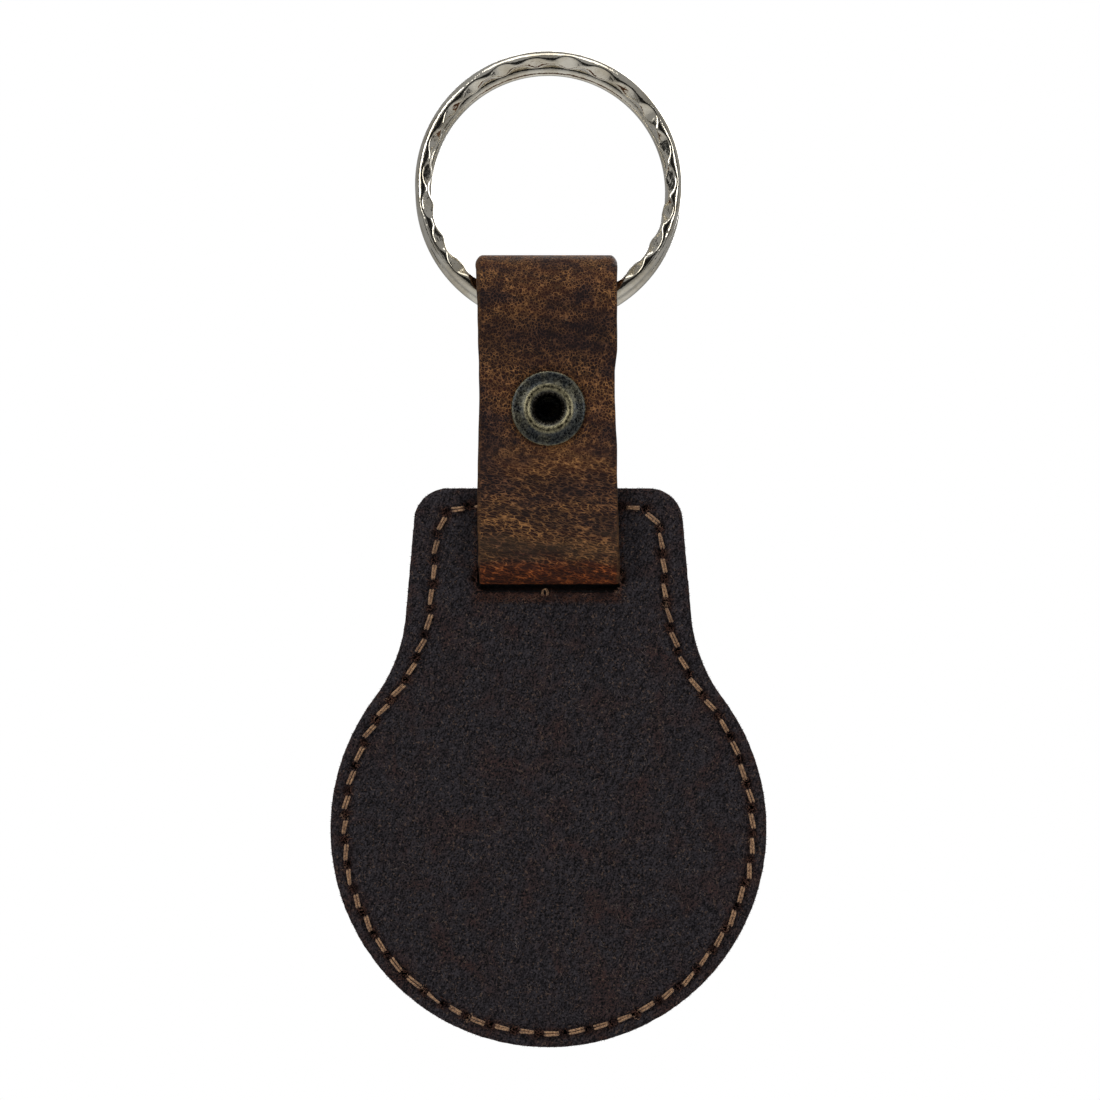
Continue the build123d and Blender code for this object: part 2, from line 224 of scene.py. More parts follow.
def stain(tree, colour, share, amount, stain_colour):
    """Colour with this amount of another one where share is 1."""
    return blend_colours(tree, times(tree, share, amount), colour, stain_colour)


def cloud(tree, place, scale, detail=3.0, roughness=0.55, bend=0.0):
    sockets = {"Vector": place, "Scale": scale, "Detail": detail, "Roughness": roughness}
    return node(tree, "TexNoise", {**sockets, "Distortion": bend}).outputs["Fac"]


def stretched(tree, place, lengths, fall=0.0):
    """Draws the pattern out by these lengths, its X falling to the right by this many degrees."""
    sockets = {"Vector": place, "Scale": lengths, "Rotation": (0, math.radians(fall), 0)}
    return node(tree, "Mapping", sockets, vector_type="TEXTURE").outputs[0]


def new_group(name, inputs, outputs):
    tree = bpy.data.node_groups.new(name, "ShaderNodeTree")
    for socket, kind, default in inputs:
        made = tree.interface.new_socket(socket, in_out="INPUT", socket_type="NodeSocket" + kind)
        if default is not None:
            made.default_value = default
    for socket, kind in outputs:
        tree.interface.new_socket(socket, in_out="OUTPUT", socket_type="NodeSocket" + kind)
    return tree, tree.nodes.new("NodeGroupInput"), tree.nodes.new("NodeGroupOutput")


def use_group(tree, group, sockets):
    made = tree.nodes.new("ShaderNodeGroup")
    made.node_tree = group
    for key, value in sockets.items():
        if isinstance(value, bpy.types.NodeSocket):
            tree.links.new(value, made.inputs[key])
        else:
            made.inputs[key].default_value = value
    return made


def new_material(name):
    material = bpy.data.materials.new(name)
    material.use_nodes = True
    tree = material.node_tree
    tree.nodes.clear()
    shader = tree.nodes.new("ShaderNodeBsdfPrincipled")
    output = tree.nodes.new("ShaderNodeOutputMaterial")
    tree.links.new(shader.outputs[0], output.inputs[0])
    place = tree.nodes.new("ShaderNodeTexCoord").outputs["Object"]
    return material, tree, shader, place


def relief(tree, shader, height, distance, strength=1.0):
    """Feeds a height to the shader's normal: distance is what a height of 1 stands for."""
    bump = node(tree, "Bump", {"Height": height, "Distance": distance, "Strength": strength})
    tree.links.new(bump.outputs[0], shader.inputs["Normal"])


# hide grain: a net of creases round pebbles, coarse and fine
hide_grain, grain_in, grain_out = new_group(
    "hide_grain",
    [("Place", "Vector", None), ("Pebbles Per Metre", "Float", 1000.0), ("Crease", "Float", 0.12)],
    [("Creases", "Float"), ("Height", "Float")],
)
grain_push = node(
    hide_grain, "TexNoise", {"Vector": grain_in.outputs[0], "Scale": 1500.0, "Detail": 3.0}
)
grain_moved = node(
    hide_grain, "VectorMath",
    {0: grain_push.outputs["Color"], 1: (0.00024, 0.00024, 0.00024)}, operation="MULTIPLY",
)
grain_place = node(
    hide_grain, "VectorMath", {0: grain_in.outputs[0], 1: grain_moved.outputs[0]}, operation="ADD"
).outputs[0]
coarse_net = node(
    hide_grain, "TexVoronoi", {"Vector": grain_place, "Scale": grain_in.outputs[1]},
    feature="DISTANCE_TO_EDGE",
).outputs["Distance"]
wandering = cloud(
    hide_grain, grain_place, times(hide_grain, grain_in.outputs[1], 1.3), 2.0, 0.5
)
from_line = calc(hide_grain, "ABSOLUTE", calc(hide_grain, "SUBTRACT", wandering, 0.5))
coarse_crease = calc(
    hide_grain, "SUBTRACT", 1.0, spread(hide_grain, coarse_net, 0.0, grain_in.outputs[2])
)
fine_crease = calc(hide_grain, "SUBTRACT", 1.0, spread(hide_grain, from_line, 0.0, 0.034))
both_creases = calc(
    hide_grain, "MAXIMUM", coarse_crease, times(hide_grain, fine_crease, 0.8)
)
hide_grain.links.new(both_creases, grain_out.inputs[0])
hide_grain.links.new(calc(hide_grain, "SUBTRACT", 1.0, both_creases), grain_out.inputs[1])

# worn metal: fine rubbing marks and faint stains
worn_metal, worn_in, worn_out = new_group(
    "worn_metal",
    [("Place", "Vector", None), ("Marks Per Metre", "Float", 4000.0)],
    [("Marks", "Float"), ("Stains", "Float")],
)
marks = cloud(worn_metal, worn_in.outputs[0], worn_in.outputs[1], 4.0, 0.7)
stains = cloud(
    worn_metal, worn_in.outputs[0], times(worn_metal, worn_in.outputs[1], 0.12), 3.0, 0.6
)
worn_metal.links.new(spread(worn_metal, marks, 0.35, 0.7), worn_out.inputs[0])
worn_metal.links.new(spread(worn_metal, stains, 0.38, 0.66), worn_out.inputs[1])


# ---- materials -------------------------------------------------------------------------------
def make_nickel():
    material, tree, shader, place = new_material("bright_nickel")
    worn = use_group(tree, worn_metal, {"Place": place, "Marks Per Metre": 2600.0})
    colour = blend_colours(tree, worn.outputs["Stains"], tint(242, 235, 218), tint(216, 206, 184))
    tree.links.new(colour, shader.inputs["Base Color"])
    gloss = spread(tree, worn.outputs["Marks"], 0.0, 1.0, 0.05, 0.15)
    tree.links.new(gloss, shader.inputs["Roughness"])
    shader.inputs["Metallic"].default_value = 1.0
    ripple = cloud(tree, place, 1400.0, 2.0)
    relief(tree, shader, ripple, 0.00004)
    return material


def make_antique(name, centre_z, banded):
    """Darkened brass; banded adds the eyelet's rubbed crest, scratched cone and painted shade in
    the bore.
    """
    material, tree, shader, place = new_material(name)
    worn = use_group(tree, worn_metal, {"Place": place, "Marks Per Metre": 3800.0})
    dark = blend_colours(tree, worn.outputs["Marks"], tint(34, 38, 46), tint(104, 106, 100))
    pale = blend_colours(tree, worn.outputs["Marks"], tint(104, 98, 76), tint(186, 176, 140))
    if banded:
        apart = node(tree, "SeparateXYZ", {0: place})
        across = apart.outputs["X"]
        along = calc(tree, "SUBTRACT", apart.outputs["Z"], centre_z)
        radius = calc(
            tree, "SQRT",
            calc(tree, "ADD", times(tree, across, across), times(tree, along, along)),
        )
        angle = calc(tree, "ARCTAN2", across, along)
        sockets = {0: times(tree, angle, 9.0), 1: times(tree, radius, 500.0)}
        polar = node(tree, "CombineXYZ", sockets)
        spokes = cloud(tree, polar.outputs[0], 2.6, 3.0, 0.7)
        crest = zone(tree, radius, 1.95, 2.4, 2.75, 3.15)
        patch = spread(tree, cloud(tree, place, 420.0, 3.0, 0.6), 0.42, 0.62)
        rim = spread(tree, radius, 4.3 * MM, 4.42 * MM)
        show = calc(tree, "MAXIMUM", calc(tree, "MAXIMUM", crest, times(tree, patch, 0.35)), rim)
        colour = blend_colours(tree, show, dark, pale)
        cone = spread(tree, radius, 2.15 * MM, 1.95 * MM)
        scratched = spread(tree, spokes, 0.42, 0.64)
        cone_colour = blend_colours(tree, scratched, tint(30, 29, 30), tint(120, 114, 100))
        colour = blend_colours(tree, cone, colour, cone_colour)
        # painted shade: the bore and the inside of its rolled lip are painted near-black
        bore_painted_shade = spread(tree, radius, 1.52 * MM, 1.40 * MM)
        colour = blend_colours(tree, bore_painted_shade, colour, tint(6, 7, 9))
        rubbing = times(tree, worn.outputs["Marks"], 0.4)
        height = calc(tree, "ADD", times(tree, spokes, cone), rubbing)
    else:
        rubbed = spread(tree, cloud(tree, place, 240.0, 3.0, 0.6), 0.46, 0.66)
        colour = blend_colours(tree, rubbed, dark, pale)
        height = times(tree, worn.outputs["Marks"], 0.5)
    tree.links.new(colour, shader.inputs["Base Color"])
    gloss = spread(tree, worn.outputs["Marks"], 0.0, 1.0, 0.2, 0.42)
    tree.links.new(gloss, shader.inputs["Roughness"])
    shader.inputs["Metallic"].default_value = 1.0
    relief(tree, shader, height, 0.00003)
    return material


def make_spring_steel():
    material, tree, shader, place = new_material("spring_wire")
    worn = use_group(tree, worn_metal, {"Place": place, "Marks Per Metre": 6000.0})
    colour = blend_colours(tree, worn.outputs["Marks"], tint(120, 120, 122), tint(190, 190, 188))
    tree.links.new(colour, shader.inputs["Base Color"])
    gloss = spread(tree, worn.outputs["Stains"], 0.0, 1.0, 0.2, 0.4)
    tree.links.new(gloss, shader.inputs["Roughness"])
    shader.inputs["Metallic"].default_value = 1.0
    return material


def hide_grain_on(tree, place, pebbles, crease):
    sockets = {"Place": place, "Pebbles Per Metre": pebbles, "Crease": crease}
    return use_group(tree, hide_grain, sockets).outputs


def make_strap_leather():
    """Waxed pull-up leather: pale crackle over red-brown, dark where it was handled."""
    material, tree, shader, place = new_material("waxed_strap_leather")
    apart = node(tree, "SeparateXYZ", {0: place})
    across, height_z = apart.outputs["X"], apart.outputs["Z"]
    lower = spread(tree, height_z, -29 * MM, -36 * MM)
    lying = stretched(tree, place, (2.5, 1.0, 0.72), 13)
    upright = stretched(tree, place, (1.0, 1.0, 1.15), -24)
    grain_up = hide_grain_on(tree, upright, 2600.0, 0.125)
    grain_low = hide_grain_on(tree, lying, 2350.0, 0.125)
    creases = calc(
        tree, "ADD", times(tree, grain_up[0], calc(tree, "SUBTRACT", 1.0, lower)),
        times(tree, grain_low[0], lower),
    )
    patches = cloud(tree, stretched(tree, place, (1.6, 1, 0.9), 6), 210.0, 4.0, 0.6)
    streaks = cloud(tree, stretched(tree, place, (4.5, 1, 0.9), 9), 720.0, 4.0, 0.62)
    streaky = spread(tree, streaks, 0.36, 0.64)
    ground = blend_colours(tree, streaky, tint(31, 13, 12), tint(62, 30, 21))
    ground = stain(tree, ground, spread(tree, patches, 0.50, 0.62), 0.9, tint(26, 18, 23))
    ground = stain(tree, ground, spread(tree, patches, 0.44, 0.30), 0.6, tint(84, 50, 30))
    # by height: darker under the fold, dusty, then burnished at the bottom bend and lightened there
    # as painted light, so the bend still looks lit where it turns away from the lamps
    ragged = times(tree, calc(tree, "SUBTRACT", streaks, 0.5), 5 * MM)
    level = calc(tree, "ADD", height_z, ragged)
    shade = zone(tree, level, -12.5, -17, -19, -24)
    ground = stain(tree, ground, shade, 0.7, tint(30, 19, 22))
    dusk = zone(tree, level, -34.5, -38, -40.5, -44)
    ground = stain(tree, ground, dusk, 0.55, tint(44, 31, 29))
    dusty = zone(tree, level, -41.5, -43.2, -44.2, -45.4)
    ground = stain(tree, ground, dusty, 0.65, tint(78, 60, 42))
    # bottom bend: partly real burnish, partly painted light, its colour raised to offset the shade
    # of the bend turning down from the lamps
    burnish_and_painted_light = spread(tree, level, -44.4 * MM, -46.0 * MM)
    ground = stain(tree, ground, burnish_and_painted_light, 0.85, tint(74, 33, 19))
    patchy = spread(tree, patches, 0.35, 0.66)
    crackle = blend_colours(tree, patchy, tint(214, 152, 92), tint(150, 102, 72))
    crackle = stain(tree, crackle, shade, 0.6, tint(92, 60, 46))
    blotch = times(tree, spread(tree, patches, 0.50, 0.62), spread(tree, level, -36 * MM, -32 * MM))
    crackle = stain(tree, crackle, blotch, 0.55, tint(78, 52, 46))
    crackle = blend_colours(tree, burnish_and_painted_light, crackle, tint(216, 118, 58))
    dim_band = times(tree, spread(tree, streaks, 0.54, 0.40), lower)
    crackle = stain(tree, crackle, dim_band, 0.6, tint(70, 46, 38))
    broken = spread(tree, cloud(tree, place, 1100.0, 3.0, 0.65), 0.36, 0.62, 0.25, 1.0)
    colour = blend_colours(tree, times(tree, creases, broken), ground, crackle)
    pinched = stretched(tree, place, (3.4, 1, 0.55), 12)
    folds = times(
        tree, spread(tree, cloud(tree, pinched, 1000.0, 3.0, 0.6), 0.56, 0.44),
        spread(tree, level, -42.0 * MM, -45.5 * MM),
    )
    colour = stain(tree, colour, folds, 0.6, tint(34, 17, 13))
    specks = spread(tree, cloud(tree, place, 2600.0, 1.0), 0.74, 0.8)
    colour = stain(tree, colour, specks, 0.4, tint(170, 140, 100))
    # cut edges
    off_middle = calc(tree, "ABSOLUTE", across)
    edge = spread(tree, off_middle, HALF_STRAP - 0.42 * MM, HALF_STRAP - 0.05 * MM)
    fray = cloud(tree, place, 1500.0, 3.0, 0.7)
    frayed = spread(tree, fray, 0.35, 0.65)
    edge_colour = blend_colours(tree, frayed, tint(58, 36, 24), tint(120, 86, 54))
    colour = blend_colours(tree, times(tree, edge, 0.7), colour, edge_colour)
    tree.links.new(colour, shader.inputs["Base Color"])
    tree.links.new(spread(tree, streaks, 0.3, 0.7, 0.58, 0.76), shader.inputs["Roughness"])
    shader.inputs["Specular IOR Level"].default_value = 0.22
    depth = calc(tree, "ADD", times(tree, burnish_and_painted_light, 1.6), 0.7)
    wrinkles = times(tree, cloud(tree, lying, 900.0, 3.0, 0.6), depth)
    folded = calc(tree, "SUBTRACT", wrinkles, folds)
    height = calc(tree, "SUBTRACT", folded, times(tree, creases, 0.55))
    relief(tree, shader, height, 0.00012)
    return material


def make_front_leather():
    """The same hide's smooth side, darker, on the front panel and the pocket."""
    material, tree, shader, place = new_material("waxed_front_leather")
    grain = hide_grain_on(tree, place, 1000.0, 0.15)
    patches = cloud(tree, place, 90.0, 5.0, 0.6, 0.4)
    streaks = cloud(tree, stretched(tree, place, (1, 1, 2.8), 20), 420.0, 4.0, 0.6)
    patchy = spread(tree, patches, 0.36, 0.64)
    ground = blend_colours(tree, patchy, tint(58, 34, 26), tint(98, 58, 33))
    ground = stain(tree, ground, spread(tree, streaks, 0.52, 0.7), 0.5, tint(46, 30, 27))
    pulled = spread(tree, cloud(tree, place, 160.0, 3.0, 0.5), 0.56, 0.72, 0.0, 0.7)
    ground = blend_colours(tree, pulled, ground, tint(126, 78, 42))
    crackle = tint(134, 90, 52)
    broken = spread(tree, cloud(tree, place, 520.0, 3.0, 0.6), 0.38, 0.62, 0.15, 0.6)
    colour = blend_colours(tree, times(tree, grain[0], broken), ground, crackle)
    # the flesh side, which faces in: darker in its own right, and painted near-black as the shade
    # inside the pouch that shows through the slot
    flesh_side_and_painted_shade = node(tree, "Attribute", attribute_name="flesh_side_and_painted_shade").outputs["Fac"]
    nap = spread(tree, cloud(tree, place, 4200.0, 2.0, 0.6), 0.4, 0.62)
    flesh_side_and_painted_shade_colour = blend_colours(tree, nap, tint(8, 7, 9), tint(34, 29, 30))
    colour = blend_colours(tree, flesh_side_and_painted_shade, colour, flesh_side_and_painted_shade_colour)
    tree.links.new(colour, shader.inputs["Base Color"])
    tree.links.new(spread(tree, streaks, 0.3, 0.7, 0.46, 0.64), shader.inputs["Roughness"])
    shader.inputs["Specular IOR Level"].default_value = 0.38
    height = calc(tree, "ADD", times(tree, grain[1], 0.6), times(tree, streaks, 0.5))
    relief(tree, shader, height, 0.0001)
    return material


def make_suede():
    """Near-black flesh side: granular nap, short lying fibres, rusty where rubbed."""
    material, tree, shader, place = new_material("charcoal_suede")
    grains = cloud(tree, place, 4600.0, 2.0, 0.6)
    lying = cloud(tree, stretched(tree, place, (0.8, 1, 2.4), 24), 4000.0, 2.0, 0.6)
    crossed = cloud(tree, stretched(tree, place, (2.0, 1, 0.8), -18), 3300.0, 2.0, 0.6)
    nap = calc(
        tree, "ADD", times(tree, grains, 0.5),
        calc(tree, "ADD", times(tree, lying, 0.3), times(tree, crossed, 0.2)),
    )
    colour = blend_colours(tree, spread(tree, nap, 0.40, 0.62), tint(9, 8, 11), tint(74, 69, 73))
    patches = cloud(tree, place, 240.0, 4.0, 0.62, 0.5)
    rust = times(tree, spread(tree, patches, 0.46, 0.72), spread(tree, nap, 0.44, 0.58))
    colour = stain(tree, colour, rust, 0.7, tint(78, 48, 38))
    pits = spread(tree, cloud(tree, place, 2200.0, 2.0, 0.5), 0.40, 0.30)
    colour = stain(tree, colour, pits, 0.5, tint(9, 8, 10))
    specks = spread(tree, cloud(tree, place, 3300.0, 1.0, 0.5), 0.64, 0.72)
    colour = stain(tree, colour, specks, 0.7, tint(112, 92, 80))
    # painted shade: needle holes and the slot's cut walls are painted near-black
    colour = blend_colours(
        tree, times(tree, node(tree, "Attribute", attribute_name="pit_and_painted_shade").outputs["Fac"], 0.9),
        colour, tint(8, 6, 7),
    )
    # rubbed rim and rusty fibres along the seam, from the piece's own wear attribute
    wear = node(tree, "Attribute", attribute_name="wear").outputs["Fac"]
    rubbed = times(tree, wear, spread(tree, crossed, 0.40, 0.62, 0.2, 1.0))
    grainy = spread(tree, grains, 0.42, 0.6)
    rim_colour = blend_colours(tree, grainy, tint(34, 21, 19), tint(92, 58, 42))
    colour = blend_colours(tree, rubbed, colour, rim_colour)
    tree.links.new(colour, shader.inputs["Base Color"])
    shader.inputs["Roughness"].default_value = 0.94
    shader.inputs["Specular IOR Level"].default_value = 0.15
    shader.inputs["Sheen Weight"].default_value = 0.12
    shader.inputs["Sheen Roughness"].default_value = 0.6
    shader.inputs["Sheen Tint"].default_value = tint(150, 140, 140)
    relief(tree, shader, calc(tree, "SUBTRACT", nap, times(tree, pits, 0.4)), 0.00026)
    return material


def make_thread(name, low_tint, high_tint):
    material, tree, shader, place = new_material(name)
    plies = cloud(tree, place, 5200.0, 3.0, 0.6)
    worn = cloud(tree, place, 420.0, 2.0, 0.6)
    colour = blend_colours(tree, spread(tree, plies, 0.35, 0.65), low_tint, high_tint)
    colour = blend_colours(tree, spread(tree, worn, 0.5, 0.72, 0.0, 0.5), colour, tint(96, 66, 46))
    tree.links.new(colour, shader.inputs["Base Color"])
    shader.inputs["Roughness"].default_value = 0.72
    shader.inputs["Sheen Weight"].default_value = 0.25
    relief(tree, shader, plies, 0.00006)
    return material


def make_fibre(name, first, second, third):
    material, tree, shader, place = new_material(name)
    which = cloud(tree, place, 900.0, 2.0, 0.5)
    colour = blend_colours(tree, spread(tree, which, 0.38, 0.55), first, second)
    colour = blend_colours(tree, spread(tree, which, 0.6, 0.7), colour, third)
    tree.links.new(colour, shader.inputs["Base Color"])
    shader.inputs["Roughness"].default_value = 0.85
    return material


nickel = make_nickel()
eyelet_metal = make_antique("antique_eyelet", SNAP_Z, True)
snap_metal = make_antique("antique_snap", SNAP_Z, False)
spring_steel = make_spring_steel()
strap_leather = make_strap_leather()
front_leather = make_front_leather()
suede = make_suede()
tan_thread = make_thread("tan_thread", tint(118, 84, 60), tint(216, 170, 126))
rust_fibre = make_fibre("rust_fibre", tint(42, 28, 27), tint(84, 58, 50), tint(132, 104, 88))
nap_fibre = make_fibre("nap_fibre", tint(50, 46, 52), tint(88, 70, 62), tint(146, 130, 120))
slot_fibre = make_fibre("slot_fibre", tint(58, 36, 32), tint(112, 76, 62), tint(176, 142, 116))


# ---- key ring --------------------------------------------------------------------------------
def make_ring():
    """Wire spun through nearly two turns, stepped from the back turn to the front one."""
    start, sweep = -435.0, 690.0
    ramp = 12.0
    steps = 690
    far_pitch = 20 * MM
    bm = bmesh.new()
    bmesh.ops.create_circle(bm, cap_ends=False, segments=32, radius=WIRE_R)
    bmesh.ops.translate(bm, verts=bm.verts, vec=(TURN_R, 0, 0))
    bmesh.ops.rotate(
        bm, verts=bm.verts, cent=(0, 0, 0), matrix=Matrix.Rotation(-math.radians(start), 3, "Y")
    )
    bmesh.ops.spin(
        bm, geom=bm.verts[:] + bm.edges[:], cent=(0, 0, 0), axis=(0, -1, 0),
        dvec=(0, far_pitch * sweep / 360 / steps, 0), angle=math.radians(sweep), steps=steps,
        use_duplicate=False,
    )
    dents = []
    dent_count = 23
    soft = 0.07 * MM
    for number in range(-3, dent_count + 3):
        for row, facing in ((0.0, 52.0), (0.5, 8.0)):
            middle = -420 + (number + row) * 360 / dent_count + chance.uniform(-1.0, 1.0)
            lean = math.radians(facing + chance.uniform(-7, 7))
            depth = chance.uniform(0.40, 0.58) if row == 0 else chance.uniform(0.32, 0.46)
            dents.append((middle, lean, depth * MM, chance.uniform(1.7, 2.1) * MM))
    for vert in bm.verts:
        x, y, z = vert.co
        turned = math.degrees(math.atan2(z, x))
        part_turn = (turned - start) % 360
        whole = round((y / far_pitch * 360 - part_turn) / 360)
        angle = start + part_turn + 360 * whole
        side_y = y - far_pitch * (angle - start) / 360
        inward = TURN_R - math.hypot(x, z)
        if angle < -90 - ramp:
            for middle, lean, depth, reach in dents:
                along = math.radians(angle - middle) * TURN_R
                if abs(along) < reach:
                    face = WIRE_R - depth * (1 - (along / reach) ** 2)
                    dent_in, dent_y = math.cos(lean), -math.sin(lean)
                    proud = inward * dent_in + side_y * dent_y - face
                    if proud > 0:
                        proud -= soft * (1 - math.exp(-proud / soft))
                        inward -= proud * dent_in
                        side_y -= proud * dent_y
        across = ease(angle, -90 - ramp, -90 + ramp)
        radius = TURN_R - inward
        rad = math.radians(angle)
        vert.co = (
            radius * math.cos(rad),
            side_y - TURN_Y + 2 * TURN_Y * across,
            radius * math.sin(rad) - TURN_DROP * across,
        )
    ends = [edge for edge in bm.edges if edge.is_boundary]
    caps = bmesh.ops.holes_fill(bm, edges=ends, sides=0)["faces"]
    bmesh.ops.inset_region(bm, faces=caps, thickness=0.12 * MM, depth=0.07 * MM)
    bmesh.ops.recalc_face_normals(bm, faces=bm.faces)
    ring = piece_from(bm, "split_ring", "ring")
    paint(ring, nickel)
    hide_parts("key_ring")


# ---- strap -----------------------------------------------------------------------------------
# height and half width of each hand-cut edge, in millimetres
LEFT_EDGE = [
    (-9.2, 8.75), (-11, 8.65), (-17.4, 8.42), (-25.8, 8.28), (-31.8, 8.40), (-37.8, 8.52),
    (-45, 8.42), (-48, 8.25),
]
RIGHT_EDGE = [
    (-9.2, 8.25), (-11, 8.2), (-20, 8.2), (-22.4, 7.92), (-26, 7.94), (-31.8, 8.2),
    (-37.8, 8.25), (-45, 8.52), (-48, 8.5),
]


def shape_strap(co):
    """Hand-cut edges, a fold rounded by wear, and leather pressed down round the eyelet."""
    x, y, z = co
    sides = LEFT_EDGE if x < 0 else RIGHT_EDGE
    half = between(z / MM, sides) * MM
    half += 0.05 * MM * wobble((0, y * 0.3, z), 2.2 * MM, 1 if x < 0 else 2)
    x *= half / HALF_STRAP
    outer = y < -3.9 * MM if y < 0 else y > 2.2 * MM
    rise = ease(z, FOLD_TOP_Z - 2.6 * MM, FOLD_TOP_Z)
    side = max(0.0, abs(x) / half - 0.9) / 0.1
    if outer or z > FOLD_TOP_Z - 1.3 * MM:
        z -= 0.75 * MM * side * side * rise
    if z < FOLD_TOP_Z - 3 * MM:
        swell = swelling(x, z, (0.07, 6, 3), (0.025, 1.7, 4))
        if y < LEG_OUT_Y + 0.5 * MM:
            from_eyelet = math.hypot(x, z - SNAP_Z)
            dimple = 0.3 * MM * (1 - ease(from_eyelet, 4.35 * MM, 5.4 * MM))
            ridge = 0.05 * MM * math.exp(-((from_eyelet - 5.6 * MM) / (0.6 * MM)) ** 2)
            y += dimple - ridge + swell
        elif y > tab_high.y - 2.7 * MM and y > 0:
            y += swell * 0.6
    if y < 0 and z < STRAP_LOW_Z + 4 * MM:
        slant = (x * 0.16 + z) / (0.62 * MM)
        depth = 0.05 * MM * (1 - ease(z, STRAP_LOW_Z + 1.5 * MM, STRAP_LOW_Z + 4 * MM))
        y += depth * math.sin(slant * 2 * math.pi / 1.7 + 2 * wobble((x, 0, z), 3 * MM, 5))
    return Vector((x, y, z))


def make_strap():
    """Both halves as one strip of leather, parted at the back of the fold."""
    bm = even_leather("strap", ("strap_back", "strap_tab"), 0.26 * MM, 3)
    bmesh.ops.bisect_plane(
        bm, geom=bm.verts[:] + bm.edges[:] + bm.faces[:], dist=1e-8,
        plane_co=(0, 0, FOLD_SIDE_Z), plane_no=(0, 0, 1),
    )
    whole = bpy.data.meshes.new("whole_strap")
    bm.to_mesh(whole)
    bm.free()
    made = []
    for name, leg in (("strap_leg", True), ("strap_fold_and_tab", False)):
        bm = bmesh.new()
        bm.from_mesh(whole)
        other = []
        for face in bm.faces:
            middle = face.calc_center_median()
            on_leg = middle.z < FOLD_SIDE_Z and middle.y < 0.4 * MM
            if on_leg != leg:
                other.append(face)
        bmesh.ops.delete(bm, geom=other, context="FACES")
        cut = [edge for edge in bm.edges if edge.is_boundary]
        bmesh.ops.holes_fill(bm, edges=cut, sides=0)
        for edge in cut:
            edge.smooth = False
        for vert in bm.verts:
            vert.co = shape_strap(vert.co)
        made.append(piece_from(bm, name))
    bpy.data.meshes.remove(whole)
    leg, tab = made
    for piece, replaced in ((leg, "strap_back"), (tab, "strap_tab")):
        paint(piece, strap_leather)
        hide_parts(replaced)
    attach(leg, "pouch")
    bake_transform(tab)


# ---- stitches --------------------------------------------------------------------------------
def stitch_runs(node_name, deepest):
    """Each stitch of a thread node as (start, end, low_y, high_y), from where its legs end."""
    bm = bmesh.new()
    joined_up(bm, node_name)
    runs, seen = [], set()
    for first in bm.verts:
        if first.index in seen:
            continue
        island, queue = [], [first]
        seen.add(first.index)
        while queue:
            vert = queue.pop()
            island.append(vert.co.copy())
            for edge in vert.link_edges:
                other = edge.other_vert(vert)
                if other.index not in seen:
                    seen.add(other.index)
                    queue.append(other)
        deep_y = deepest(co.y for co in island)
        tips = [co for co in island if abs(co.y - deep_y) < 0.02 * MM]
        a = tips[0]
        one = [co for co in tips if (co - a).length < 1.2 * MM]
        two = [co for co in tips if (co - a).length >= 1.2 * MM]
        ends = [sum(group, Vector()) / len(group) for group in (one, two)]
        ends.sort(key=lambda co: math.atan2(co.z - PANEL_MIDDLE_Z, co.x))
        low_y = min(co.y for co in island)
        high_y = max(co.y for co in island)
        runs.append((ends[0], ends[1], low_y, high_y))
    bm.free()
    return runs


def line_of(curve, points, radii, order=4):
    spline = curve.splines.new("NURBS")
    spline.points.add(len(points) - 1)
    for point, co, radius in zip(spline.points, points, radii):
        point.co = (*co, 1.0)
        point.radius = radius
    spline.order_u = min(order, len(points))
    spline.use_endpoint_u = True


def new_lines(name, radius, sides=1, steps=2):
    curve = bpy.data.curves.new(name, "CURVE")
    curve.dimensions = "3D"
    curve.bevel_depth = radius
    curve.bevel_resolution = sides
    curve.resolution_u = steps
    curve.use_fill_caps = True
    return curve


def piece_from_lines(curve, name, body):
    drawn = bpy.data.objects.new(name + "_lines", curve)
    bpy.context.scene.collection.objects.link(drawn)
    seen = drawn.evaluated_get(bpy.context.evaluated_depsgraph_get())
    mesh = bpy.data.meshes.new_from_object(seen)
    mesh.name = name
    mesh.shade_smooth()
    bpy.data.objects.remove(drawn)
    return new_piece(name, mesh, body)


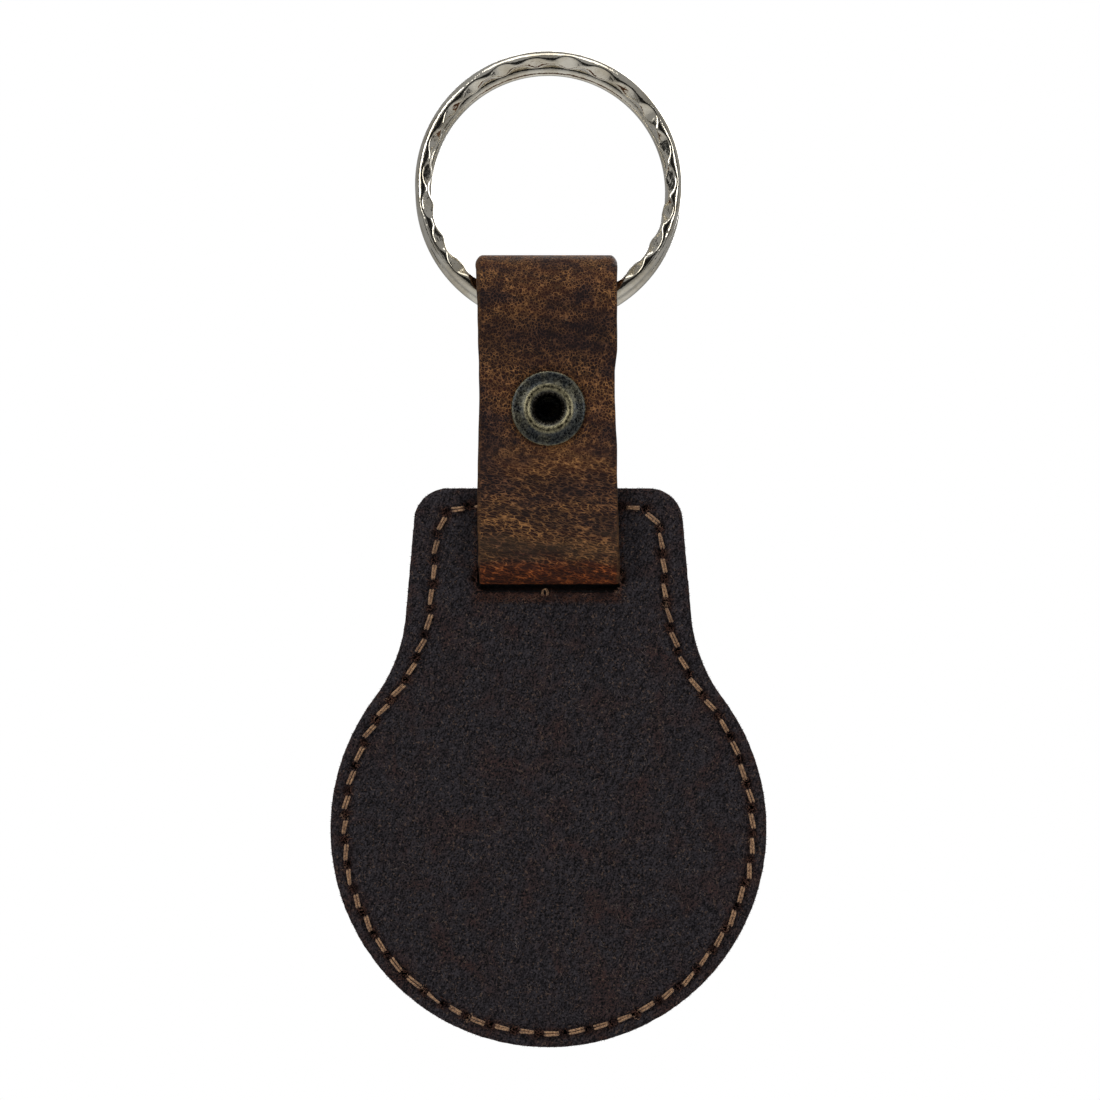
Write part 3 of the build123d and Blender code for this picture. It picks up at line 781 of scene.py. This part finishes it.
def lay_stitches(name, runs, outward, untidy):
    """Two twisted plies per stitch, diving into the leather at both ends."""
    curve = new_lines(name, 0.14 * MM, 1, 2)
    out = Vector((0, outward, 0))
    for start, end, low_y, high_y in runs:
        face_y = (low_y + 0.5 * MM) if outward < 0 else (high_y - 0.5 * MM)
        run = end - start
        run.y = 0
        heading = run.normalized()
        sideways = heading.cross(out)
        lean = 1.1 * untidy * MM * abs(heading.z)
        if (start.z > end.z) != (sideways.x * start.x > 0):
            lean = -lean
        slip_a = chance.gauss(0, 0.7 * untidy) * MM - lean
        slip_b = chance.gauss(0, 0.7 * untidy) * MM + lean
        first_turn = chance.gauss(0, 0.3)
        turns = chance.uniform(0.02, 0.2)
        loose = chance.uniform(0.95, 1.2)
        short = chance.uniform(0.0, 0.9 * untidy)
        for ply in (0, 1):
            points, radii = [], []
            count = 13
            for i in range(count):
                share = i / (count - 1)
                dive = min(share, 1 - share) / 0.5
                height = -1.15 * MM + 1.40 * MM * ease(dive, -0.02, 0.22) * (0.97 + 0.04 * loose)
                pull = short + (1 - 2 * short) * ease(share, -0.25, 1.25)
                place = start + run * pull
                place.y = face_y
                turn = first_turn + ply * math.pi + turns * 2 * math.pi * share
                spreading = 0.15 * MM * loose
                slip = slip_a * (1 - share) + slip_b * share
                place += sideways * (slip + spreading * math.cos(turn))
                place += out * (height + 0.55 * spreading * math.sin(turn))
                points.append(place)
                radii.append(1.0 if 0 < i < count - 1 else 0.85)
            line_of(curve, points, radii)
    piece = piece_from_lines(curve, name, "pouch")
    paint(piece, tan_thread)
    return piece


# ---- panels and pocket -----------------------------------------------------------------------
def needle_holes(runs):
    """Middles of the needle's slits, just beyond the ends of each stitch."""
    past_leg = 0.29 * MM
    holes = []
    for start, end, _, _ in runs:
        heading = (end - start).normalized()
        holes.append(start - heading * past_leg)
        holes.append(end + heading * past_leg)
    return holes


def along_seam(runs):
    return [start.lerp(end, k / 8) for start, end, _, _ in runs for k in range(9)]


def tree_of(points):
    """Search tree of points, flattened onto the panel."""
    tree = kdtree.KDTree(len(points))
    for number, place in enumerate(points):
        tree.insert((place.x, 0, place.z), number)
    tree.balance()
    return tree


def store_values(piece, name, values):
    attribute = piece.data.attributes.new(name, "FLOAT", "POINT")
    attribute.data.foreach_set("value", values)


def make_back_suede(runs):
    bm = even_leather("back_suede", ("back_panel",), 0.27 * MM, 2)
    seam = tree_of(along_seam(runs))
    holes = tree_of(needle_holes(runs))
    bm.normal_update()
    rim = tree_of([vert.co for vert in bm.verts if abs(vert.normal.y) < 0.3])
    wear, pits = [], []
    for vert in bm.verts:
        x, y, z = vert.co
        facing = -vert.normal.y
        # needle holes and the slot's cut walls: a mask that presses the holes in and that the suede
        # material paints near-black as painted shade
        pit_and_painted_shade = 1 - ease(holes.find((x, 0, z))[2], 0.28 * MM, 0.72 * MM)
        in_slot = abs(x) < 9.3 * MM and abs(z - SLOT_MIDDLE_Z) < 1.7 * MM
        if in_slot and abs(vert.normal.y) < 0.8:
            pit_and_painted_shade = 1.0
        pits.append(pit_and_painted_shade)
        if z < STRAP_LOW_Z + 0.2 * MM:
            sag = 0.34 * MM * math.exp(-((z - SLOT_LOW_Z) / (0.8 * MM)) ** 2)
            vert.co.z -= sag * ease(abs(x), 9.4 * MM, 6.5 * MM)
        from_seam = seam.find((x, 0, z))[2]
        ragged = 0.04 * MM * wobble((x, y, z), 0.9 * MM, 11)
        ragged += 0.02 * MM * wobble((x, y, z), 0.4 * MM, 12)
        if abs(vert.normal.y) < 0.6:
            flat = Vector((vert.normal.x, 0, vert.normal.z))
            vert.co += flat * ragged
        if facing > 0.3:
            drawn = 0.16 * MM * math.exp(-(from_seam / (0.75 * MM)) ** 2)
            roll = 0.05 * MM * math.exp(-((from_seam - 1.5 * MM) / (0.8 * MM)) ** 2)
            swell = swelling(x, z, (0.06, 9, 13), (0.03, 1.3, 14))
            vert.co.y += drawn - roll + swell + 0.22 * MM * pit_and_painted_shade
        under_slot = abs(z - SLOT_LOW_Z + 0.89 * MM)
        near_slot = ease(under_slot, 1.0 * MM, 0.4 * MM) * ease(abs(x), 9.6 * MM, 8.4 * MM)
        rim_wear = 1 - ease(abs(vert.normal.y), 0.35, 0.9)
        from_rim = rim.find((x, 0, z))[2]
        rubbed = 0.7 * math.exp(-(from_rim / (0.8 * MM)) ** 2)
        rim_wear = max(rim_wear, rubbed * ease(wobble((x, 0, z), 1.1 * MM, 16), -0.1, 0.4))
        seam_wear = 0.75 * math.exp(-((from_seam - 0.2 * MM) / (0.55 * MM)) ** 2)
        seam_wear *= ease(wobble((x, 0, z), 1.6 * MM, 15), -0.25, 0.45)
        wear.append(min(1.0, max(rim_wear, seam_wear, 0.9 * near_slot)))
    piece = piece_from(bm, "back_suede", "pouch")
    store_values(piece, "wear", wear)
    store_values(piece, "pit_and_painted_shade", pits)
    paint(piece, suede)
    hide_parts("back_panel")
    return piece


def make_front_face(name, node_name, runs, seed):
    """Front panel or pocket: smooth leather drawn in along the seam."""
    plugs = []
    if node_name == "front_panel":
        low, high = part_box(node_name)
        middle_y = (low.y + high.y) / 2
        for hole in needle_holes(runs):
            plugs.append((Vector((hole.x, middle_y, hole.z)), 0.8 * MM, 0.9 * MM))
    bm = even_leather(name, (node_name,), 0.3 * MM, 3, plugs)
    seam = tree_of(along_seam(runs))
    bm.normal_update()
    flesh_side_and_painted_shade = []
    for vert in bm.verts:
        x, y, z = vert.co
        # inward faces: the flesh side, which the material paints near-black as painted shade inside
        # the pouch
        flesh_side_and_painted_shade.append(ease(-vert.normal.y, 0.3, 0.7))
        from_seam = seam.find((x, 0, z))[2]
        if abs(vert.normal.y) < 0.6:
            flat = Vector((vert.normal.x, 0, vert.normal.z))
            vert.co += flat * 0.06 * MM * wobble((x, y, z), 1.2 * MM, seed)
        if vert.normal.y > 0.3:
            drawn = 0.14 * MM * math.exp(-(from_seam / (0.7 * MM)) ** 2)
            swell = swelling(x, z, (0.07, 8, seed + 1), (0.02, 1.5, seed + 2))
            vert.co.y += swell - drawn
    piece = piece_from(bm, name, "pouch")
    store_values(piece, "flesh_side_and_painted_shade", flesh_side_and_painted_shade)
    paint(piece, front_leather)
    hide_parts(node_name)


# ---- loose fibres ----------------------------------------------------------------------------
def tuft(curve, root, heading, length, bend):
    side = Vector((chance.gauss(0, 1), chance.gauss(0, 1), chance.gauss(0, 1))).normalized()
    middle = root + heading * length * 0.55 + side * bend * 0.5
    tip = root + heading * length + side * bend
    line_of(curve, [root - heading * 0.08 * MM, middle, tip], [1.0, 0.85, 0.35], 3)


def random_heading(across, outward, up):
    """Unit direction out of the back face, each part given as (mean, spread)."""
    x = chance.gauss(*across) if across[1] else across[0]
    y = -abs(chance.gauss(*outward))
    z = chance.gauss(*up)
    return Vector((x, y, z)).normalized()


def make_rim_fibres(panel):
    """Short nap standing off the cut rim."""
    curve = new_lines("rim_fibres", 0.028 * MM, 0, 2)
    rim = [v for v in panel.data.vertices if abs(v.normal.y) < 0.75 and v.co.z < PANEL_TOP_Z + MM]
    rim = [v for v in rim if not (abs(v.co.x) < 9.8 * MM and -50 * MM < v.co.z < -44 * MM)]
    for vert in chance.sample(rim, 1300):
        sway = Vector((chance.gauss(0, 0.5), chance.gauss(0, 0.5), chance.gauss(0, 0.5)))
        heading = (vert.normal + sway).normalized()
        tuft(curve, vert.co.copy(), heading, chance.uniform(0.04, 0.17) * MM, 0.06 * MM)
    piece = piece_from_lines(curve, "rim_fibres", "pouch")
    paint(piece, rust_fibre)


def make_lying_nap(panel):
    """Fine fibres combed down over the suede."""
    curve = new_lines("lying_nap", 0.019 * MM, 0, 1)
    face = [v for v in panel.data.vertices if v.normal.y < -0.85]
    face = [v for v in face if not (abs(v.co.x) < 8.6 * MM and v.co.z > -49 * MM)]
    rim = tree_of([v.co for v in panel.data.vertices if abs(v.normal.y) < 0.3])
    face = [v for v in face if rim.find((v.co.x, 0, v.co.z))[2] > 1.2 * MM]
    for vert in chance.sample(face, 4200):
        heading = random_heading((0.25, 0.6), (0, 0.12), (-0.5, 0.7))
        root = vert.co + Vector((0, -0.01 * MM, 0))
        tuft(curve, root, heading, chance.uniform(0.3, 1.1) * MM, chance.uniform(0.05, 0.3) * MM)
    piece = piece_from_lines(curve, "lying_nap", "pouch")
    paint(piece, nap_fibre)


def make_slot_fibres():
    """Torn suede along the slot's lower lip, up its sides, and a loose curl of thread."""
    curve = new_lines("slot_fibres", 0.034 * MM, 0, 3)
    lip_z = SLOT_LOW_Z - 0.29 * MM
    for _ in range(620):
        x = chance.uniform(-8.8, 8.8) * MM
        curve_up = 0.9 * MM * ease(abs(x), 7.8 * MM, 9.0 * MM)
        y = panel_low.y - chance.uniform(-0.25, 0.05) * MM
        z = lip_z + curve_up - (0.2 + abs(chance.gauss(0, 0.42))) * MM
        root = Vector((x, y, z))
        heading = random_heading((0, 0.8), (0.15, 0.3), (-0.3, 0.4))
        tuft(curve, root, heading, chance.uniform(0.2, 0.7) * MM, 0.28 * MM)
    for side in (-1, 1):
        for _ in range(150):
            z = chance.uniform(-48.3, -37.0) * MM
            x = side * (8.55 + abs(chance.gauss(0, 0.22))) * MM
            root = Vector((x, panel_low.y + 0.02 * MM, z))
            away = side * abs(chance.gauss(0.5, 0.5))
            heading = random_heading((away, 0), (0.4, 0.4), (0, 0.7))
            tuft(curve, root, heading, chance.uniform(0.12, 0.42) * MM, 0.2 * MM)
    piece = piece_from_lines(curve, "slot_fibres", "pouch")
    paint(piece, slot_fibre)
    curl = new_lines("slot_curl", 0.06 * MM, 1, 3)
    for shift in (0.0, 0.15):
        points = []
        for i in range(7):
            a = math.radians(-40 + i * 44)
            points.append(
                Vector((
                    (-0.5 + shift + 0.36 * math.cos(a)) * MM,
                    panel_low.y - (0.05 + 0.16 * math.sin(math.pi * i / 6)) * MM,
                    (-48.95 + shift * 0.4 + 0.5 * math.sin(a)) * MM,
                ))
            )
        line_of(curl, points, [0.8] * 7)
    piece = piece_from_lines(curl, "slot_curl", "pouch")
    paint(piece, tan_thread)


def make_seam_fibres(runs):
    """Rusty fibres pushed out round the needle holes."""
    curve = new_lines("seam_fibres", 0.032 * MM, 0, 2)
    for start, end, _, _ in runs:
        for hole in (start, end):
            for _ in range(chance.randint(10, 20)):
                off = Vector((chance.gauss(0, 0.38), 0, chance.gauss(0, 0.38))) * MM
                root = Vector((hole.x + off.x, panel_low.y + 0.08 * MM, hole.z + off.z))
                heading = random_heading((0, 0.8), (0.4, 0.4), (0, 0.8))
                tuft(curve, root, heading, chance.uniform(0.12, 0.5) * MM, 0.18 * MM)
    piece = piece_from_lines(curve, "seam_fibres", "pouch")
    paint(piece, slot_fibre)


# ---- eyelet ----------------------------------------------------------------------------------
EYELET_PROFILE = [
    (1.36, -4.10), (1.40, -1.20), (1.46, -0.32), (1.66, 0.02), (1.95, 0.34), (2.22, 0.58),
    (2.48, 0.71), (2.72, 0.72), (2.95, 0.60), (3.22, 0.44), (3.60, 0.35), (4.00, 0.29),
    (4.28, 0.23), (4.45, 0.10), (4.50, -0.06), (4.42, -0.22), (4.10, -0.26), (1.80, -0.26),
    (1.80, -4.10),
]


def make_eyelet():
    bm = bmesh.new()
    ring = [bm.verts.new((r * MM, LEG_OUT_Y - out * MM, SNAP_Z)) for r, out in EYELET_PROFILE]
    for a, b in zip(ring, ring[1:] + ring[:1]):
        bm.edges.new((a, b))
    bmesh.ops.spin(
        bm, geom=bm.verts[:] + bm.edges[:], cent=(0, 0, SNAP_Z), axis=(0, 1, 0),
        angle=math.radians(360), steps=72, use_merge=True, use_duplicate=False,
    )
    bmesh.ops.remove_doubles(bm, verts=bm.verts, dist=1e-7)
    bmesh.ops.recalc_face_normals(bm, faces=bm.faces)
    piece = piece_from(bm, "eyelet", "pouch")
    softer = piece.modifiers.new("softer", "SUBSURF")
    softer.levels = 1
    softer.render_levels = 1
    paint(piece, eyelet_metal)
    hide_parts("snap_eyelet")


# ---- build -----------------------------------------------------------------------------------
make_ring()
make_strap()
make_eyelet()
bobbin_runs = stitch_runs("bobbin_thread", max)
needle_runs = stitch_runs("needle_thread", min)
bobbin = lay_stitches("bobbin_stitches", bobbin_runs, -1, 0.13)
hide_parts("bobbin_thread")
needle = lay_stitches("needle_stitches", needle_runs, 1, 0.03)
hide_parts("needle_thread")
back_suede = make_back_suede(bobbin_runs)
make_front_face("front_leather_panel", "front_panel", needle_runs, 21)
make_front_face("moulded_pocket", "pick_pocket", needle_runs, 31)
make_rim_fibres(back_suede)
make_lying_nap(back_suede)
make_slot_fibres()
make_seam_fibres(bobbin_runs)
for name in ("snap_stud", "snap_socket", "snap_rivet", "snap_cap"):
    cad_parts[name].material_slots[0].material = snap_metal
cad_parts["snap_spring"].material_slots[0].material = spring_steel


# ---- studio ----------------------------------------------------------------------------------
def make_floor():
    bm = bmesh.new()
    bmesh.ops.create_grid(bm, x_segments=8, y_segments=8, size=2.5)
    bmesh.ops.translate(bm, verts=bm.verts, vec=(0, 0, -0.9))
    floor = piece_from(bm, "studio_floor")
    material, tree, shader, place = new_material("pale_floor")
    shade = cloud(tree, place, 3.0, 2.0)
    tree.links.new(
        blend_colours(tree, shade, (0.86, 0.86, 0.86, 1), (0.9, 0.9, 0.9, 1)),
        shader.inputs["Base Color"],
    )
    shader.inputs["Roughness"].default_value = 0.8
    paint(floor, material)


def make_card(name, middle, width, height):
    """Matt black card that the metal reflects and the camera doesn't see."""
    bm = bmesh.new()
    bmesh.ops.create_grid(bm, x_segments=2, y_segments=2, size=0.5)
    bmesh.ops.scale(bm, verts=bm.verts, vec=(width, height, 1))
    facing = (Vector((0, 0, -0.04)) - Vector(middle)).to_track_quat("Z", "Y")
    bmesh.ops.rotate(bm, verts=bm.verts, cent=(0, 0, 0), matrix=facing.to_matrix())
    bmesh.ops.translate(bm, verts=bm.verts, vec=middle)
    card = piece_from(bm, name)
    material, tree, shader, _ = new_material(name + "_matt")
    shader.inputs["Base Color"].default_value = (0.012, 0.012, 0.012, 1)
    shader.inputs["Roughness"].default_value = 1.0
    paint(card, material)
    card.visible_camera = False


def make_softbox(name, middle, width, height, power):
    data = bpy.data.lights.new(name, "AREA")
    data.shape = "RECTANGLE"
    data.size = width
    data.size_y = height
    data.energy = power
    lamp = bpy.data.objects.new(name, data)
    lamp.location = middle
    lamp.rotation_mode = "QUATERNION"
    lamp.rotation_quaternion = (Vector(middle) - Vector((0, 0, -0.04))).to_track_quat("Z", "Y")
    bpy.context.scene.collection.objects.link(lamp)


def make_world():
    world = bpy.data.worlds.new("studio_air")
    world.use_nodes = True
    tree = world.node_tree
    tree.nodes.clear()
    seen = node(tree, "Background", {"Color": (1, 1, 1, 1), "Strength": 1.0})
    lit = node(tree, "Background", {"Color": (0.93, 0.95, 1, 1), "Strength": 0.29})
    path = node(tree, "LightPath")
    sockets = {0: path.outputs["Is Camera Ray"], 1: lit.outputs[0], 2: seen.outputs[0]}
    chosen = node(tree, "MixShader", sockets)
    output = tree.nodes.new("ShaderNodeOutputWorld")
    tree.links.new(chosen.outputs[0], output.inputs[0])
    bpy.context.scene.world = world


def make_camera():
    data = bpy.data.cameras.new("studio_camera")
    data.lens = 200
    data.sensor_width = 36
    data.clip_start = 0.01
    camera = bpy.data.objects.new("studio_camera", data)
    camera.location = (0.18 * MM, -0.7333, -43.8 * MM)
    camera.rotation_euler = (math.radians(90), 0, 0)
    bpy.context.scene.collection.objects.link(camera)
    bpy.context.scene.camera = camera


make_floor()
make_card("dark_card", (0.0, -1.3, 0.0), 1.3, 0.9)
make_card("left_flag", (-0.42, -0.55, 0.05), 0.12, 0.7)
make_card("right_flag", (0.42, -0.55, 0.0), 0.12, 0.7)
make_card("left_strip", (-0.55, -0.16, 0.02), 0.10, 0.8)
make_card("right_strip", (0.55, -0.16, 0.02), 0.10, 0.8)
make_softbox("softbox_left", (-0.85, -0.75, 0.35), 0.55, 1.0, 4.6)
make_softbox("softbox_right", (0.8, -0.8, 0.1), 0.35, 0.8, 3.2)
make_softbox("softbox_top", (0.0, -0.25, 0.95), 1.0, 0.5, 2.5)
make_softbox("softbox_back", (0.3, 0.95, 0.3), 0.9, 0.7, 7.0)
make_world()
make_camera()
bpy.context.scene.view_settings.view_transform = "Standard"
